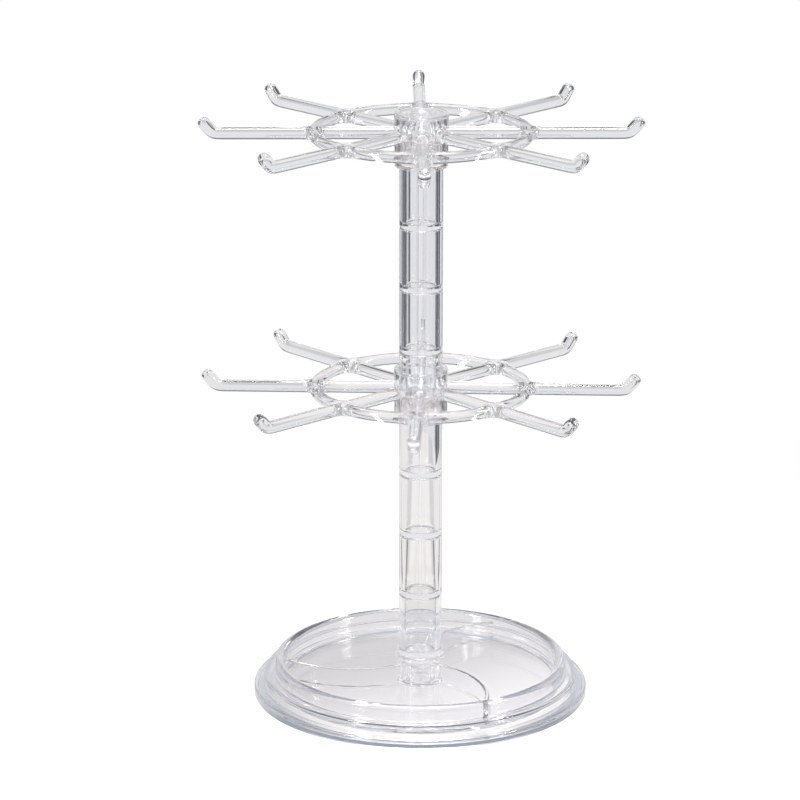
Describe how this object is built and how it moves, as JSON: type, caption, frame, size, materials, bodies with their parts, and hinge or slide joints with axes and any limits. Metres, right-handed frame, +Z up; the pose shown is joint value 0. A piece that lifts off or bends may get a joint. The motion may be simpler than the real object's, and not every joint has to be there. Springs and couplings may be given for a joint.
{
  "type": "rotating jewelry stand",
  "caption": "Clear two-tier jewelry stand: hooked arms tied by a ring turn on a column over a round tray with curved dividers.",
  "frame": {"origin": "middle of the tray's footprint, on the surface it stands on", "axes": "+Z up along the column, which is the axis both tiers turn on; +X to the viewer's right in the picture, +Y away from the viewer"},
  "size_m": [0.222, 0.222, 0.3052],
  "materials": {
    "clear_plastic": "polished clear moulding"
  },
  "bodies": {
    "stand": {"base_tray": "clear_plastic", "column_foot": "clear_plastic", "lower_column_left": "clear_plastic", "lower_column_right": "clear_plastic", "lower_collar": "clear_plastic", "upper_column_left": "clear_plastic", "upper_column_right": "clear_plastic", "upper_collar": "clear_plastic", "top_spindle": "clear_plastic", "retaining_ring": "clear_plastic", "top_cap": "clear_plastic"},
    "lower_tier": {"lower_tier": "clear_plastic"},
    "upper_tier": {"upper_tier": "clear_plastic"}
  },
  "joints": [
    {"name": "lower_tier_spin", "type": "hinge", "parent": "stand", "child": "lower_tier", "pos_m": [0, 0, 0.1628], "axis": [0, 0, 1], "continuous": true},
    {"name": "upper_tier_spin", "type": "hinge", "parent": "stand", "child": "upper_tier", "pos_m": [0, 0, 0.2949], "axis": [0, 0, 1], "continuous": true}
  ]
}
